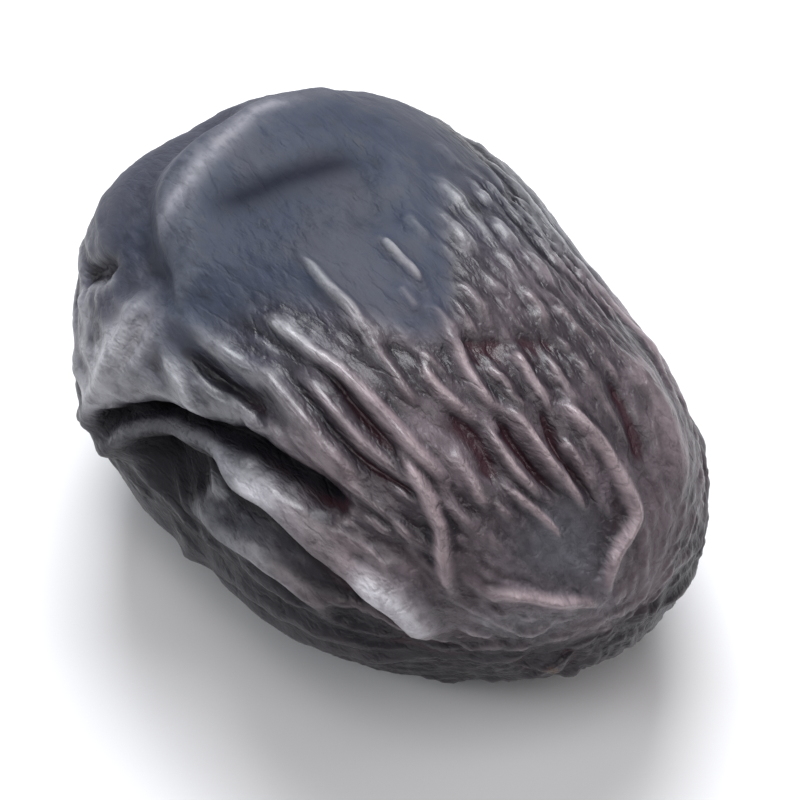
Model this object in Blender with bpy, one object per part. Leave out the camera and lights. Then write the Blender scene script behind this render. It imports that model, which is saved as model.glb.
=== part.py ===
"""A dried ajwa date: one solid, skin and flesh grown together.

The body is a plump barrel lying on its side. The skin's swells, folds and lengthwise wrinkles are relief
raised from the barrel by formulas. +X runs from the stem end to the tip, +Z is up, and the origin is on the
surface that the date lies on, under the middle of its box.
"""
import bpy
import numpy as np

# Driving dimensions, in millimetres
LENGTH = 30.2
WIDTH = 21.4
HEIGHT = 19.2
FOOT_DEPTH = 0.55
WRINKLE_WAVE = 1.25
WRINKLE_HEIGHT = 0.42
STEM_SCAR = 1.9
TIP_NUB = 0.55
TIP_NUB_PLACE = (14.6, 125)

# Form of the plain barrel: an exponent of 2 is an ellipse, and a higher one is boxier
SIDE_OUTLINE = 2.45
CROSS_SECTION = 2.25
TIP_TAPER = 0.085
END_TAPER = 0.03

# The mesh is worked out on a fine grid, then thinned to about this many triangles
ROWS = 170
COLUMNS = 300
TRIANGLES = 10400
FOOT_UNEVENNESS = 0.03
FOLD_WANDER = 0.11

MILLIMETRE = 0.001

# Swells and hollows, as ((mm along, degrees round), height, radius). Degrees run from the top towards -Y.
SWELLS = {
    "crown": ((-8, 0), 0.45, 5.0),
    "flank": ((0.5, 16), 0.45, 5.0),
    "ear": ((-7.2, 74), 0.75, 3.4),
    "tip facet": ((13.6, 6), -0.8, 2.6),
    "flat shoulder": ((1.5, -58), -1.3, 6.5),
    "heel": ((-12.4, 42), 0.6, 3.6),
    "back of the crown": ((-6.5, -52), -0.45, 3.2),
    "under hollow": ((2, 112), -0.7, 4.5),
    "under the tip": ((12.5, 118), -1.6, 5.5),
}

# Folds, as ([(mm along, degrees round), ...], height, half width on one side, half width on the other side)
FOLDS = {
    "main crease": ([(-6.4, 92), (-5.6, 83), (-4, 73), (-2.2, 65), (0, 59.5), (2, 54.5), (4, 52), (6, 50.5),
                     (7.2, 50)], -1.6, 0.36, 0.50),
    "crease floor": ([(-4.6, 78), (-3, 68.5), (-1.2, 62.5), (0.6, 58), (2.6, 54)], -0.8, 0.45, 0.55),
    "lip step": ([(-4.2, 52), (-3, 54), (-2, 55.5), (-1, 58.5), (0, 61)], 0.42, 0.40, 0.42),
    "lip valley": ([(-3.6, 50.5), (-2.2, 49.5), (-0.4, 47.8), (1, 46), (2.4, 45)], -0.5, 0.34, 0.38),
    "upper lip": ([(-5, 46.5), (-3.6, 44.6), (-2, 43.2), (-0.5, 41.5), (1, 39.4), (2.4, 39.2), (3.8, 40),
                   (5.4, 41.5), (7, 42.5)], 0.62, 0.40, 0.46),
    "lower lip": ([(-6.4, 101), (-5.2, 88), (-4.1, 80), (-3, 73), (-1.8, 67.5), (-0.6, 64.5), (1, 62.4),
                   (2.6, 62.3), (4.2, 60.5), (5.6, 61), (6.8, 63), (8.2, 64), (9.4, 66), (10.4, 71),
                   (11.3, 78), (12.1, 84)], 0.95, 0.75, 0.36),
    "under lip": ([(-4.4, 93), (-3.2, 83), (-1.8, 75.5), (0, 70.5), (2, 68.8), (4, 67.5), (6, 68.5),
                   (8, 70.5), (9.4, 74), (10.4, 81)], -1.2, 0.40, 0.95),
    "hollow under the lip": ([(-4.6, 91), (-3, 86), (-1.4, 82), (0.4, 79)], -0.7, 0.8, 0.9),
    "lip end": ([(8.2, 62.5), (9.4, 63.5), (10.6, 67), (11.6, 74)], 0.45, 0.8, 0.4),
    "first crinkle": ([(-1.6, 91), (0.8, 85.5), (2.4, 83.5), (4, 81.5), (5.6, 82), (7, 86), (8, 93)],
                      0.55, 0.34, 0.40),
    "second crinkle": ([(-2, 112), (0.6, 105), (3.2, 100), (6, 98), (9.5, 97)], 0.55, 0.4, 0.5),
    "ear": ([(-7, 44), (-6.1, 52), (-5.8, 60), (-5.8, 69), (-6.2, 81), (-7.2, 92), (-8.8, 103), (-10.6, 113)],
            0.75, 0.5, 0.6),
    "ear root": ([(-4.9, 44), (-4.8, 52), (-4.7, 61), (-4.9, 70)], 0.38, 0.42, 0.5),
    "ear hollow": ([(-5.4, 49), (-5.2, 57), (-5.2, 66)], -0.3, 0.3, 0.3),
    "ear notch": ([(-11, 66), (-10.2, 58), (-9, 51)], -0.8, 0.35, 0.4),
    "long ridge": ([(-1.4, 31.4), (0.4, 30), (2, 28.8), (3.4, 27.3), (5, 27.4), (6.8, 27.6), (8.4, 28.2),
                    (9.4, 30)], 0.62, 0.20, 0.22),
    "front fold": ([(6.6, 30), (7.6, 31.8), (8.8, 34), (9.8, 38), (10.5, 43.5), (11.2, 50), (11.9, 56.5)],
                   0.60, 0.22, 0.26),
    "valley under long ridge": ([(1.6, 30.8), (3, 30.2), (4.4, 30.8), (5.8, 31.3), (7.2, 31.8)],
                                -0.40, 0.19, 0.19),
    "ridge in the valley": ([(1.4, 34.2), (3, 34.2), (4.6, 34.8), (6, 35.2), (7.4, 35)], 0.34, 0.16, 0.18),
    "valley over the lip": ([(1, 35.9), (2.4, 37), (4, 38.2), (5.6, 38.6), (7.2, 38), (8.6, 36.6)],
                            -0.42, 0.21, 0.22),
    "upper ridge": ([(-2.5, 17), (-1, 17.3), (0.4, 17.6), (1.6, 17.6), (2.8, 18.4)], 0.55, 0.19, 0.21),
    "ridge on the step": ([(2.4, 18.6), (3.6, 19.6), (5, 20.6), (6.2, 21.4)], 0.30, 0.19, 0.21),
    "short ridge": ([(-0.8, 0.8), (0.5, 1.8), (2.2, 2)], 0.5, 0.19, 0.21),
    "first step ridge": ([(4.6, 5), (6, 6.6), (7.3, 7.4), (8.2, 7.2)], 0.45, 0.19, 0.21),
    "second step ridge": ([(6.3, -6.6), (7.3, -6), (8.6, -5.4)], 0.42, 0.19, 0.22),
    "third step ridge": ([(4.6, 14), (5.8, 15), (7, 14.2), (8.2, 12.8)], 0.42, 0.21, 0.22),
    "tip ridge": ([(7.8, 5), (8.8, 3.9), (9.8, 3.2), (10.9, 2), (12, 0.2), (13, -1.8)], 0.50, 0.18, 0.20),
    "upper tip ridge": ([(8.2, 11.8), (9.4, 12.8), (10.6, 12.6), (11.4, 12)], 0.42, 0.18, 0.19),
    "lower tip ridge": ([(10.2, 19), (11.2, 16.8), (12.2, 14.8), (13.2, 13.4)], 0.42, 0.18, 0.20),
    "short tip ridge": ([(10.2, -4.8), (11.2, -5.6), (12.2, -6.6)], 0.34, 0.18, 0.19),
    "grey streak": ([(8.2, 22), (9.4, 23.8), (10.8, 26.6)], 0.34, 0.21, 0.22),
    "broad tip valley": ([(6.6, 17), (7.8, 16), (9.2, 17), (10.2, 20.6)], -0.42, 0.36, 0.40),
    "tip valley": ([(8, 8.6), (9.4, 8), (10.8, 7.3), (12, 6)], -0.40, 0.21, 0.22),
    "right valley": ([(8.8, -3), (10, -2), (11.2, -2.6), (12.6, -6)], -0.40, 0.19, 0.21),
    "facet rim, right": ([(8.6, -8.4), (9.6, -10.6), (10.6, -13.4), (11.6, -16), (12.6, -18.6), (13.4, -20),
                          (13.9, -15.5), (14.3, -8), (14.7, 2), (14.9, 12)], 0.60, 0.22, 0.27),
    "facet rim, front": ([(14.9, 9), (14.9, 20), (14.7, 31), (14.2, 39.5), (13.5, 43), (12.8, 47),
                          (12.5, 54)], 0.55, 0.24, 0.29),
    "step, near": ([(3.4, 18.6), (3.9, 15), (4.4, 11.4)], -0.20, 0.30, 0.7),
    "step, middle": ([(4.9, 4.4), (5.2, 1), (5.6, -2.6), (5.9, -5)], -0.22, 0.30, 0.7),
    "step, far": ([(6, -8.6), (6.3, -12), (6.9, -17)], -0.18, 0.30, 0.7),
    "right fold": ([(7.5, -36), (9.6, -39.5), (11.1, -42.5), (12.4, -45), (13.5, -47)], 0.40, 0.7, 0.6),
    "right hollow": ([(8.4, -26), (9.8, -28), (11.2, -28), (12.6, -28)], -0.35, 0.5, 0.5),
    "crown rim": ([(-3.4, 42), (-5.4, 39.5), (-7.4, 35), (-8.7, 30.5), (-9.5, 24), (-10, 15), (-10.2, 5),
                   (-10.5, -5), (-10.3, -17), (-9.4, -30)], 0.5, 0.5, 1.3),
    "crown valley": ([(-7.8, 26), (-6.9, 19), (-6.2, 12), (-5.8, 4), (-5.6, -4), (-5.2, -10), (-4.4, -17)],
                     -0.55, 0.85, 1.9),
    "crown gutter": ([(-4.6, 40.5), (-6.2, 42.5), (-8, 42), (-9.6, 38.5), (-11, 31), (-11.8, 20), (-12.3, 6),
                      (-12.6, -8)], -0.7, 0.9, 0.7),
    "crown dimple": ([(-9.2, 20), (-8.6, 13), (-8.4, 6), (-8.4, 0)], -0.22, 0.8, 0.8),
    "shoulder hollow": ([(-3, 3), (-2.2, -3), (-1.4, -9)], -0.28, 0.7, 0.8),
    "far crease": ([(-7.5, -74), (-4.5, -80), (-1, -84), (4, -86), (8.5, -82)], -1.1, 0.45, 0.6),
    "far lip": ([(-7, -67), (-4.5, -70), (-1, -74), (4, -76.5), (9.5, -73)], 0.55, 0.6, 0.55),
    "far low lip": ([(-7.5, -84), (-3, -91), (2.5, -96), (7.5, -95), (11, -88)], 0.7, 0.55, 0.7),
    "far ridge": ([(-4, -54), (0, -58), (5, -59), (9, -57)], 0.40, 0.32, 0.38),
    "heel crease": ([(-11.8, -128), (-7, -124), (-2, -128), (2.5, -136)], -0.8, 0.45, 0.6),
    "heel lip": ([(-11, -116), (-6.5, -113), (-1, -117), (4, -124), (9, -122)], 0.6, 0.5, 0.6),
    "under crease": ([(-10.5, 132), (-6, 126), (-1, 122), (4, 118), (9.5, 112)], -0.85, 0.45, 0.6),
    "under ridge": ([(-11.2, 118), (-6.8, 115), (-2, 113), (3, 110), (8, 107), (11.5, 103)], 0.6, 0.5, 0.55),
}

# Short bumps scattered on the right shoulder, as (mm along, degrees round, length)
BUMPS = [(-3.8, -31, 1.0), (-1.6, -21.5, 1.5), (-0.5, -7, 0.8), (0.9, -13.5, 1.0), (1.0, -26, 1.1),
         (1.1, -40, 1.2), (2.3, 6.8, 0.9), (3.9, 3.4, 1.5), (3.6, -5.8, 1.8), (5.0, -19, 1.6),
         (3.2, -29, 1.2), (-2.8, -42, 1.4)]
BUMP_HEIGHT = 0.26
BUMP_WIDTH = 0.24


def ease(x):
    """0 below 0, 1 above 1 and an S-curve between."""
    x = np.clip(x, 0, 1)
    return x * x * (3 - 2 * x)


def barrel(s, angle):
    """The plain body in mm, for s from 0 at the stem end to 1 at the tip and an angle in radians.

    The angle runs from the top towards -Y. Side outline and cross-section are superellipses, and the radius
    tapers towards the tip.
    """
    t = np.pi * s
    x = -0.5 * LENGTH * np.sign(np.cos(t)) * np.abs(np.cos(t)) ** (2 / SIDE_OUTLINE)
    u = x / (0.5 * LENGTH)
    radius = np.abs(np.sin(t)) ** (2 / SIDE_OUTLINE) * (1 - TIP_TAPER * u - END_TAPER * u * u)
    side, top = np.sin(angle), np.cos(angle)
    boxy = (np.abs(top) ** CROSS_SECTION + np.abs(side) ** CROSS_SECTION) ** (-1 / CROSS_SECTION)
    y = -0.5 * WIDTH * radius * boxy * side
    z = 0.5 * HEIGHT * radius * boxy * top
    return np.stack(np.broadcast_arrays(x, y, z), -1)


def on_barrel(along, degrees):
    """The barrel's point at a distance along its axis: the side outline is solved for s."""
    part = np.clip(np.abs(along) / (0.5 * LENGTH), 0, 1) ** (SIDE_OUTLINE / 2)
    return barrel(np.arccos(-np.sign(along) * part) / np.pi, np.radians(degrees))


def outward(grid):
    """Unit normals of a grid that closes round its columns: the cross product of its two directions."""
    ring = np.concatenate([grid[:, -1:], grid, grid[:, :1]], 1)
    normal = np.cross(ring[:, 2:] - ring[:, :-2], np.gradient(grid, axis=0))
    normal /= np.linalg.norm(normal, axis=-1, keepdims=True) + 1e-12
    for end, beside in ((0, 1), (-1, -2)):
        normal[end] = normal[beside].mean(0) / np.linalg.norm(normal[beside].mean(0))
    return normal * np.sign((normal * grid).sum())


def lumps(points, size, seed):
    """Smooth noise from about -1 to 1: random slopes at the corners of cells, blended inside them."""
    rng = np.random.default_rng(seed)
    shuffle = np.tile(rng.permutation(256), 2)
    slopes = rng.normal(size=(256, 3))
    slopes /= np.linalg.norm(slopes, axis=1, keepdims=True)
    cell = np.floor(points / size).astype(int)
    inside = points / size - cell
    blend = inside ** 3 * (inside * (inside * 6 - 15) + 10)
    cell &= 255
    total = 0
    for corner in np.ndindex(2, 2, 2):
        pick = 0
        share = 1
        for axis, step in enumerate(corner):
            pick = shuffle[pick + ((cell[..., axis] + step) & 255)]
            share = share * (blend[..., axis] if step else 1 - blend[..., axis])
        total = total + share * (slopes[pick] * (inside - corner)).sum(-1)
    return 1.6 * total


def smooth_path(points, steps=10):
    """A curve through the points: each run is a cubic whose slope at a point follows its two neighbours."""
    points = np.asarray(points, float)
    padded = np.concatenate([2 * points[:1] - points[1:2], points, 2 * points[-1:] - points[-2:-1]])
    t = np.linspace(0, 1, steps, endpoint=False)[:, None]
    runs = []
    for a, b, c, d in zip(padded, padded[1:], padded[2:], padded[3:]):
        bend = 2 * a - 5 * b + 4 * c - d
        twist = 3 * b - a - 3 * c + d
        runs.append(0.5 * (2 * b + (c - a) * t + bend * t ** 2 + twist * t ** 3))
    return np.concatenate(runs + [points[-1:]])


def fold(skin, wander, path, height, low_width, high_width):
    """Relief of one fold, and how far it keeps the wrinkles off.

    The relief falls away exponentially with distance from the path, with its own width on each side, and
    eases out at both ends. Wide folds are round at the top and narrow ones are sharp. Points are first moved
    by wander, so that the fold runs unevenly.
    """
    route = smooth_path(path)
    line = on_barrel(route[:, 0], route[:, 1])
    step = np.diff(line, axis=0)
    length = np.linalg.norm(step, axis=1)
    start = np.concatenate([[0], np.cumsum(length)])
    across = np.cross(step, line[:-1] * (0.15, 1, 1))
    across /= np.linalg.norm(across, axis=1, keepdims=True)
    reach = 4.5 * max(low_width, high_width)
    near = ((skin > line.min(0) - reach) & (skin < line.max(0) + reach)).all(-1)
    points = skin[near] + wander[near]
    nearest = np.full(len(points), np.inf)
    side = np.zeros(len(points))
    place = np.zeros(len(points))
    for i in range(len(step)):
        t = np.clip((points - line[i]) @ step[i] / length[i] ** 2, 0, 1)
        off = points - line[i] - t[:, None] * step[i]
        gap = (off ** 2).sum(1)
        closer = gap < nearest
        nearest[closer] = gap[closer]
        side[closer] = off[closer] @ across[i]
        place[closer] = start[i] + t[closer] * length[i]
    width = np.where(side > 0, high_width, low_width)
    round_top = 0.10 + 0.9 * ease((width - 0.6) / 0.5)
    fall = np.sqrt(nearest / width ** 2 + round_top) - np.sqrt(round_top)
    run_out = min(2.2, 0.35 * start[-1])
    ends = ease((place + 0.3) / run_out) * ease((start[-1] - place + 0.3) / run_out)
    relief = np.zeros(skin.shape[:2])
    relief[near] = height * ends * np.exp(-fall ** 1.25)
    calm = np.zeros(skin.shape[:2])
    calm[near] = ends * np.exp(-nearest / (0.45 + width) ** 2) * ease(abs(height) / 0.5)
    return relief, calm


def wave_packets(count, seed, wave, spread, wander, drift):
    """Short runs of waves, scattered evenly over the barrel.

    Each has a centre, a ridge and a cross direction, a wavelength and a phase. Ridges run lengthwise, turned
    slowly by noise (drift) and each by a small angle of its own (wander).
    """
    rng = np.random.default_rng(seed)
    s, angle = np.meshgrid((np.arange(80) + 0.5) / 80, np.arange(120) * np.pi / 60, indexing="ij")
    nudge = 1e-3
    around = barrel(s, angle + nudge) - barrel(s, angle - nudge)
    along = barrel(s + nudge, angle) - barrel(s - nudge, angle)
    area = np.linalg.norm(np.cross(around, along), axis=-1).ravel()
    pick = rng.choice(area.size, count, p=area / area.sum())
    centre = barrel(s, angle).reshape(-1, 3)[pick]
    along = along.reshape(-1, 3)[pick]
    along /= np.linalg.norm(along, axis=1, keepdims=True)
    around = around.reshape(-1, 3)[pick]
    around -= along * (along * around).sum(1, keepdims=True)
    around /= np.linalg.norm(around, axis=1, keepdims=True)
    turn = (drift * lumps(centre, 6.0, 7) + rng.normal(0, wander, count))[:, None]
    ridge = np.cos(turn) * along + np.sin(turn) * around
    cross = np.cos(turn) * around - np.sin(turn) * along
    waves = wave * np.exp(rng.normal(0, spread, count))
    return centre, ridge, cross, waves, rng.uniform(0, 2 * np.pi, count)


def wrinkles(skin, packets, long, wide, sharpness):
    """Crests from 0 to 1: the wave packets are added up, and their common phase gives forking crests."""
    even = np.zeros(skin.shape[:2])
    odd = np.zeros(skin.shape[:2])
    x = skin[:, 0, 0]
    for centre, ridge, cross, wave, phase in zip(*packets):
        reach = 2.6 * long * wave
        first, last = np.searchsorted(x, (centre[0] - reach, centre[0] + reach))
        off = skin[first:last] - centre
        gap = (off ** 2).sum(-1)
        row, column = np.nonzero(gap < reach ** 2)
        along, over = off[row, column] @ ridge, off[row, column] @ cross
        sides = gap[row, column] - along ** 2
        weight = np.exp(-0.5 * ((along / (long * wave)) ** 2 + sides / (wide * wave) ** 2))
        turn = 2 * np.pi * over / wave + phase
        even[row + first, column] += weight * np.cos(turn)
        odd[row + first, column] += weight * np.sin(turn)
    strength = np.hypot(even, odd)
    return ((1 + even / (strength + 1e-9)) / 2) ** sharpness * ease(strength / 1.6)


def end_marks(skin, angle):
    """Relief of the sunk scar at the stem end, with puckers round it, and of the dry nub at the tip."""
    from_axis = np.hypot(skin[..., 1], skin[..., 2])
    stem = skin[..., 0] < 0
    ring = 0.30 * np.exp(-((from_axis - STEM_SCAR) / 0.45) ** 2)
    ring = ring - 0.55 * np.exp(-(from_axis / (0.75 * STEM_SCAR)) ** 4)
    turn = 13 * angle + 1.5 * np.sin(2 * angle) + 2.5 * lumps(skin, 3.0, 41)
    puckers = 0.12 * np.cos(turn) * np.exp(-((from_axis - 1.8 * STEM_SCAR) / 1.3) ** 2)
    from_nub = np.linalg.norm(skin - on_barrel(*TIP_NUB_PLACE), axis=-1)
    nub = 0.32 * np.exp(-(from_nub / TIP_NUB) ** 2)
    nub = nub - 0.20 * np.exp(-((from_nub - 2.2 * TIP_NUB) / 0.5) ** 2)
    return np.where(stem, ring + puckers, nub)


def date_surface(rows, columns):
    """The date's skin in mm as a grid of rows from stem end to tip and columns round it."""
    s = np.linspace(0, 1, rows)[:, None]
    angle = (np.arange(columns) * 2 * np.pi / columns)[None, :]
    skin = barrel(s, angle)
    x, y, z = np.moveaxis(skin, -1, 0)
    degrees = (np.degrees(angle) + 180) % 360 - 180

    swell = 0.35 * lumps(skin + 25, 8.0, 3)
    for place, height, radius in SWELLS.values():
        swell = swell + height * np.exp(-((skin - on_barrel(*place)) ** 2).sum(-1) / radius ** 2)
    grid = skin + outward(skin) * swell[..., None]

    relief = end_marks(skin, angle)
    calm = np.exp(-(np.hypot(y, z) / (1.3 * STEM_SCAR)) ** 4) * (x < 0)
    wander = FOLD_WANDER * np.stack([lumps(skin, 1.9, seed) for seed in (51, 52, 53)], -1)
    uneven = np.clip(1 + 0.35 * lumps(skin, 1.6, 54), 0.5, 1.4)
    bumps = [([(along - 0.5 * size, turn), (along, turn), (along + 0.5 * size, turn)],
              BUMP_HEIGHT, BUMP_WIDTH, BUMP_WIDTH)
             for along, turn, size in BUMPS]
    for path, height, low_width, high_width in [*FOLDS.values(), *bumps]:
        one_relief, one_calm = fold(skin, wander, path, height, low_width, high_width)
        relief = relief + one_relief * (uneven if max(low_width, high_width) < 0.7 else 1)
        calm = np.maximum(calm, one_calm)
    grid = grid + outward(grid) * relief[..., None]

    # Wrinkles are faint on the crown, the facet, the right flank and both ends, and stay off the foot
    border = -2.5 + 7 * np.exp(-((degrees - 5) / 17) ** 2) + 0.8 * lumps(skin, 3.0, 31)
    crown = ease((border - x) / 2.4 + 0.5) * ease((62 - np.abs(degrees - 2)) / 22)
    facet = np.exp(-(((x - 13.2) / 1.7) ** 2 + ((degrees - 14) / 22) ** 2) ** 1.5)
    right = ease((x - 3) / 3) * ease(1 - (np.abs(degrees + 36) - 8) / 14)
    foot = np.exp(-((x / 5.5) ** 2 + (y / 4.2) ** 2) ** 2) * (z < 0)
    free = (1 - 0.93 * crown) * (1 - 0.85 * facet) * (1 - 0.9 * calm) * (1 - 0.45 * right) * (1 - foot)
    gain = np.clip(0.75 + 0.5 * lumps(skin, 4.0, 21), 0.2, 1.2) * (1 - 0.5 * (2 * x / LENGTH) ** 4)
    packets = wave_packets(260, 11, WRINKLE_WAVE, 0.16, 0.12, 0.30)
    crests = wrinkles(skin, packets, 2.6, 1.0, 2.6)
    grid = grid + outward(grid) * (WRINKLE_HEIGHT * gain * free * crests)[..., None]

    # The underside is pressed flat where the date lies on it
    grid[..., 2] = np.maximum(grid[..., 2], grid[..., 2].min() + FOOT_DEPTH)
    low, high = grid.min((0, 1)), grid.max((0, 1))
    return grid - (*(low + high)[:2] / 2, low[2])


def closed_mesh(name, grid):
    """A closed mesh from the grid: quads between rows, and a fan of triangles round the point at each end."""
    rows, columns = grid.shape[:2]
    points = np.concatenate([grid[0, :1], grid[1:-1].reshape(-1, 3), grid[-1, :1]]) * MILLIMETRE
    index = 1 + np.arange((rows - 2) * columns).reshape(rows - 2, columns)
    beside = np.roll(index, -1, 1)
    quads = np.stack([index[:-1], beside[:-1], beside[1:], index[1:]], -1).reshape(-1, 4)
    stem_end = np.stack([np.zeros(columns, int), beside[0], index[0]], -1)
    tip = np.stack([np.full(columns, len(points) - 1), index[-1], beside[-1]], -1)
    mesh = bpy.data.meshes.new(name)
    mesh.from_pydata(points.tolist(), [], quads.tolist() + stem_end.tolist() + tip.tolist())
    mesh.shade_smooth()
    return mesh


def thin(piece, triangles):
    """Collapse the edges that show least until about that many triangles are left."""
    fine = sum(len(face.vertices) - 2 for face in piece.data.polygons)
    collapse = piece.modifiers.new("collapse", "DECIMATE")
    collapse.ratio = triangles / fine
    seen = piece.evaluated_get(bpy.context.evaluated_depsgraph_get())
    piece.data = bpy.data.meshes.new_from_object(seen)
    piece.data.name = piece.name
    piece.modifiers.remove(collapse)


def press_foot(mesh):
    """Put the points of the foot on one plane, which thinning leaves a few hundredths of a mm uneven."""
    points = np.empty(3 * len(mesh.vertices), np.float32)
    mesh.vertices.foreach_get("co", points)
    height = points[2::3]
    height[height < FOOT_UNEVENNESS * MILLIMETRE] = 0
    mesh.vertices.foreach_set("co", points)
    mesh.update()


def skin_material():
    """Near-black violet-brown skin with a satin surface."""
    material = bpy.data.materials.new("date skin")
    material.use_nodes = True
    shader = material.node_tree.nodes["Principled BSDF"]
    shader.inputs["Base Color"].default_value = (0.022, 0.018, 0.024, 1)
    shader.inputs["Roughness"].default_value = 0.42
    shader.inputs["Metallic"].default_value = 0
    return material


for old in list(bpy.data.objects):
    bpy.data.objects.remove(old)

date = bpy.data.objects.new("date", closed_mesh("fine skin", date_surface(ROWS, COLUMNS)))
date.data.materials.append(skin_material())
bpy.context.scene.collection.objects.link(date)
thin(date, TRIANGLES)
press_foot(date.data)
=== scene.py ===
"""A dried ajwa date lying on its side: near-black wrinkled skin with a slate-blue bloom."""

import bpy
import numpy as np
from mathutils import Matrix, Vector


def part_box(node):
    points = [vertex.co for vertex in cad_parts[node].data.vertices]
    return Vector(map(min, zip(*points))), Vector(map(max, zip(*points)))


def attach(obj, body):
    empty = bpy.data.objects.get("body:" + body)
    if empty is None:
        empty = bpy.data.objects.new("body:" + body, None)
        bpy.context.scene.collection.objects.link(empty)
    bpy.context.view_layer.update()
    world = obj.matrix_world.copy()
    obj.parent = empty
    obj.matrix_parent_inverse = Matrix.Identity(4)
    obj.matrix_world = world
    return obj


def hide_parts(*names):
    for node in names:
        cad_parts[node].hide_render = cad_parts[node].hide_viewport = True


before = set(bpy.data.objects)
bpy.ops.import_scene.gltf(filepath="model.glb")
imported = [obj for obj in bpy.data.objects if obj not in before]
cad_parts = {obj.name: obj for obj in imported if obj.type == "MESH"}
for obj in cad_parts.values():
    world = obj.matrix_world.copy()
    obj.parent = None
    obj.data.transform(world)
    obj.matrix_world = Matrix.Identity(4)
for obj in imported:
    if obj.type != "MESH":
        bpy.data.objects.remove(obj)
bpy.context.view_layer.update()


# The body
# A ripe date dries from a plump barrel. Flesh and skin are one piece, and every later form is raised from
# this barrel, whose points are in mm with +X from stem end to tip. Columns crowd where the folds are finest.
LENGTH = 30.2
WIDTH = 21.4
HEIGHT = 19.2
SIDE_OUTLINE = 2.45
CROSS_SECTION = 2.25
TIP_TAPER = 0.085
END_TAPER = 0.03
ROWS = 245
COLUMNS = 405
CROWDING = 0.30
CROWDED_AT = 30


def ease(x):
    """0 below 0, 1 above 1 and an S-curve between: 3x^2 - 2x^3."""
    x = np.clip(x, 0, 1)
    return x * x * (3 - 2 * x)


def hump(distance, width, power=2):
    """1 at a distance of 0 and falling to 0 past the width. A higher power gives a flatter top."""
    return np.exp(-(distance / width) ** power)


def barrel(s, angle):
    """The plain barrel, for s from 0 at the stem end to 1 at the tip and an angle from the top towards -Y.

    Length along the axis is -cos(pi s) and radius is sin(pi s), both to the power 2 / SIDE_OUTLINE. The
    radius tapers with length, and its cross-section is the superellipse of exponent CROSS_SECTION.
    """
    t = np.pi * s
    x = -0.5 * LENGTH * np.sign(np.cos(t)) * np.abs(np.cos(t)) ** (2 / SIDE_OUTLINE)
    u = x / (0.5 * LENGTH)
    radius = np.abs(np.sin(t)) ** (2 / SIDE_OUTLINE) * (1 - TIP_TAPER * u - END_TAPER * u * u)
    side, top = np.sin(angle), np.cos(angle)
    boxy = (np.abs(top) ** CROSS_SECTION + np.abs(side) ** CROSS_SECTION) ** (-1 / CROSS_SECTION)
    y = -0.5 * WIDTH * radius * boxy * side
    z = 0.5 * HEIGHT * radius * boxy * top
    return np.stack(np.broadcast_arrays(x, y, z), -1)


def on_barrel(along, degrees):
    """The barrel's point at a distance along its axis: the side outline is solved for s."""
    part = np.clip(np.abs(along) / (0.5 * LENGTH), 0, 1) ** (SIDE_OUTLINE / 2)
    return barrel(np.arccos(-np.sign(along) * part) / np.pi, np.radians(degrees))


def outward(grid):
    """Unit normals of a grid that closes round its columns: the cross product of its two directions."""
    ring = np.concatenate([grid[:, -1:], grid, grid[:, :1]], 1)
    normal = np.cross(ring[:, 2:] - ring[:, :-2], np.gradient(grid, axis=0))
    normal /= np.linalg.norm(normal, axis=-1, keepdims=True) + 1e-12
    for end, beside in ((0, 1), (-1, -2)):
        normal[end] = normal[beside].mean(0) / np.linalg.norm(normal[beside].mean(0))
    return normal * np.sign((normal * grid).sum())


def raised(grid, height):
    """The grid moved out along its normals by a height at each point."""
    return grid + outward(grid) * height[..., None]


s = np.linspace(0, 1, ROWS)[:, None]
even_angle = np.arange(COLUMNS) * 2 * np.pi / COLUMNS
angle = (even_angle - CROWDING * np.sin(even_angle - np.radians(CROWDED_AT)))[None, :]
degrees = (np.degrees(angle) + 180) % 360 - 180
skin = barrel(s, angle)
x, y, z = np.moveaxis(skin, -1, 0)


# Swells and hollows
# As the flesh shrinks it leaves broad lumps and dents. The crown stays full, the right shoulder is pressed
# flat, an ear of skin stands out at the left, and the flesh sinks behind the tip. Each swell is given as
# ((mm along, degrees round), height, radius).
SWELLS = {
    "crown": ((-8, 0), 0.45, 5.0),
    "flank": ((0.5, 16), 0.45, 5.0),
    "ear": ((-7.2, 74), 0.75, 3.4),
    "tip facet": ((13.6, 6), -0.8, 2.6),
    "flat shoulder": ((1.5, -58), -1.3, 6.5),
    "heel": ((-12.4, 42), 0.6, 3.6),
    "back of the crown": ((-6.5, -52), -0.45, 3.2),
    "under hollow": ((2, 112), -0.7, 4.5),
    "under the tip": ((12.5, 118), -1.6, 5.5),
}

# Noise adds to them: its height, the size of its lumps, and how far off the date it is read, all in mm
UNEVEN_HEIGHT = 0.35
UNEVEN_SIZE = 8.0
NOISE_SHIFT = 25


def lumps(points, size, seed):
    """Smooth noise from about -1 to 1: random slopes at the corners of cells, blended inside them.

    Size is the cells' side in mm. The slopes come round again after 256 cells, and the sum is scaled by 1.6
    to reach about -1 to 1.
    """
    rng = np.random.default_rng(seed)
    shuffle = np.tile(rng.permutation(256), 2)
    slopes = rng.normal(size=(256, 3))
    slopes /= np.linalg.norm(slopes, axis=1, keepdims=True)
    cell = np.floor(points / size).astype(int)
    inside = points / size - cell
    blend = inside ** 3 * (inside * (inside * 6 - 15) + 10)
    cell &= 255
    total = 0
    for corner in np.ndindex(2, 2, 2):
        pick = 0
        share = 1
        for axis, step in enumerate(corner):
            pick = shuffle[pick + ((cell[..., axis] + step) & 255)]
            share = share * (blend[..., axis] if step else 1 - blend[..., axis])
        total = total + share * (slopes[pick] * (inside - corner)).sum(-1)
    return 1.6 * total


swell = UNEVEN_HEIGHT * lumps(skin + NOISE_SHIFT, UNEVEN_SIZE, seed=3)
for place, height, radius in SWELLS.values():
    swell = swell + height * hump(np.linalg.norm(skin - on_barrel(*place), axis=-1), radius)
surface = raised(skin, swell)


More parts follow.
